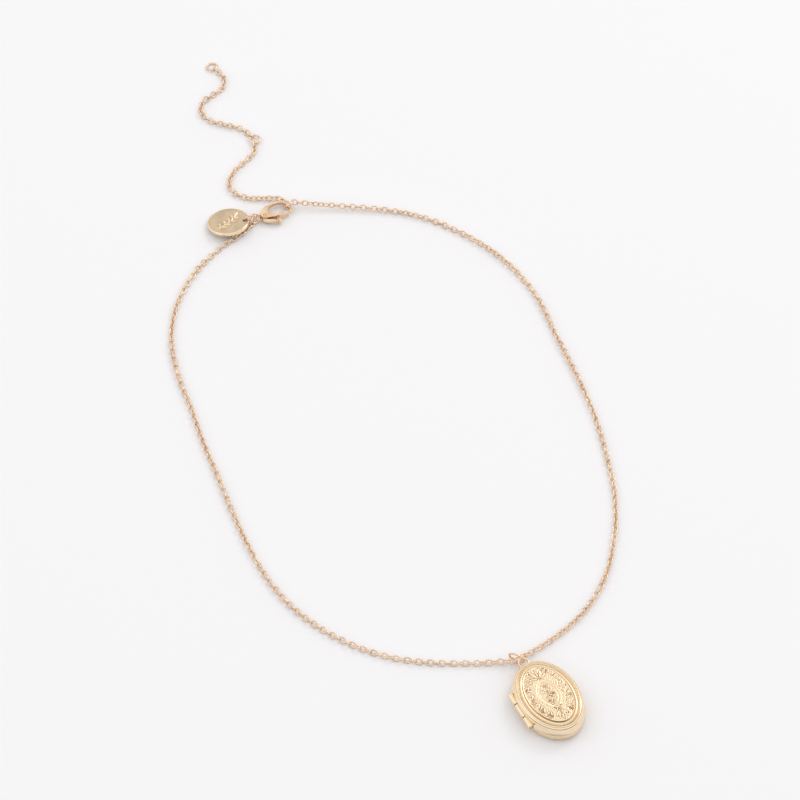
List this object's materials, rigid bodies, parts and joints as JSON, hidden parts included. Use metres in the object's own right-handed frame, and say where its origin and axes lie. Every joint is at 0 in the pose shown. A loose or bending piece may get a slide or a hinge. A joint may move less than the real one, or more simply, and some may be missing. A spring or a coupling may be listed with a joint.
{
  "type": "locket",
  "caption": "Oval hinged locket with an engraved cover, hung on a fine cable chain with a lobster-claw clasp, a round tag and an extender chain.",
  "frame": {"origin": "middle of the flat field on the locket's back, where it rests on the table", "axes": "+Z out of the locket's front, +Y from its middle to the bail, -X to the hinge; the chain lies round +Y"},
  "size_m": [0.1114, 0.26, 0.0055],
  "materials": {
    "polished_gold": "polished pale champagne gold plate",
    "engraved_gold": "polished border round an engraved and stippled field, pale champagne gold plate",
    "rose_gold_wire": "polished drawn wire, rose gold plate",
    "rose_gold_chain": "polished cable chain, rose gold plate",
    "satin_gold_tag": "satin face with a polished edge, gold plate",
    "clasp_gold": "polished cast metal, gold plate",
    "spring_steel": "bright drawn wire and strip",
    "clear_window": "clear thin sheet",
    "blank_card": "matte uncoated card"
  },
  "bodies": {
    "root": {"back_shell": "polished_gold", "closing_rim": "polished_gold", "hinge_knuckle_lower": "polished_gold", "hinge_knuckle_upper": "polished_gold", "hinge_pin": "spring_steel", "photo_frame_back": "polished_gold", "photo_window_back": "clear_window", "photo_card_back": "blank_card", "bail_eyelet": "polished_gold", "neck_chain": "rose_gold_chain", "extender_chain_inner": "rose_gold_chain", "extender_chain_outer": "rose_gold_chain", "extender_mid_ring": "rose_gold_wire", "junction_ring": "rose_gold_wire", "clasp_ring": "rose_gold_wire", "clasp_body": "clasp_gold", "clasp_rivet": "clasp_gold", "clasp_spring": "spring_steel"},
    "cover": {"front_cover": "engraved_gold", "hinge_knuckle_middle": "polished_gold", "photo_frame_front": "polished_gold", "photo_window_front": "clear_window", "photo_card_front": "blank_card"},
    "lever": {"clasp_lever": "clasp_gold"},
    "tag_ring_body": {"tag_ring": "rose_gold_wire"},
    "tag_body": {"tag": "satin_gold_tag"},
    "end_ring_body": {"extender_end_ring": "rose_gold_wire"},
    "pendant_ring_body": {"pendant_ring": "rose_gold_wire"}
  },
  "joints": [
    {"name": "cover_hinge", "type": "hinge", "parent": "root", "child": "cover", "pos_m": [-0.008, 0, 0.0027], "axis": [0, -1, 0], "range_deg": [0, 150]},
    {"name": "lever_press", "type": "hinge", "parent": "root", "child": "lever", "pos_m": [0.00836, 0.18469, 0.0013], "axis": [0, 0, 1], "range_deg": [0, 10], "stiffness_Nm_per_rad": 0.004},
    {"name": "tag_ring_swing", "type": "hinge", "parent": "root", "child": "tag_ring_body", "pos_m": [0.0046, 0.18542, 0.0015], "axis": [0, 1, 0], "range_deg": [0, 20]},
    {"name": "tag_flip", "type": "hinge", "parent": "tag_ring_body", "child": "tag_body", "pos_m": [0.0024, 0.18542, 0.0019], "axis": [0, 1, 0], "range_deg": [0, 30]},
    {"name": "end_ring_flip", "type": "hinge", "parent": "root", "child": "end_ring_body", "pos_m": [0.02117, 0.24475, 0.0003], "axis": [0.9689, 0.2474, 0], "range_deg": [0, 95]},
    {"name": "pendant_ring_roll", "type": "hinge", "parent": "root", "child": "pendant_ring_body", "pos_m": [-0.00092, 0.01556, 0.00236], "axis": [0.6198, -0.7848, 0], "range_deg": [-4, 8]}
  ]
}
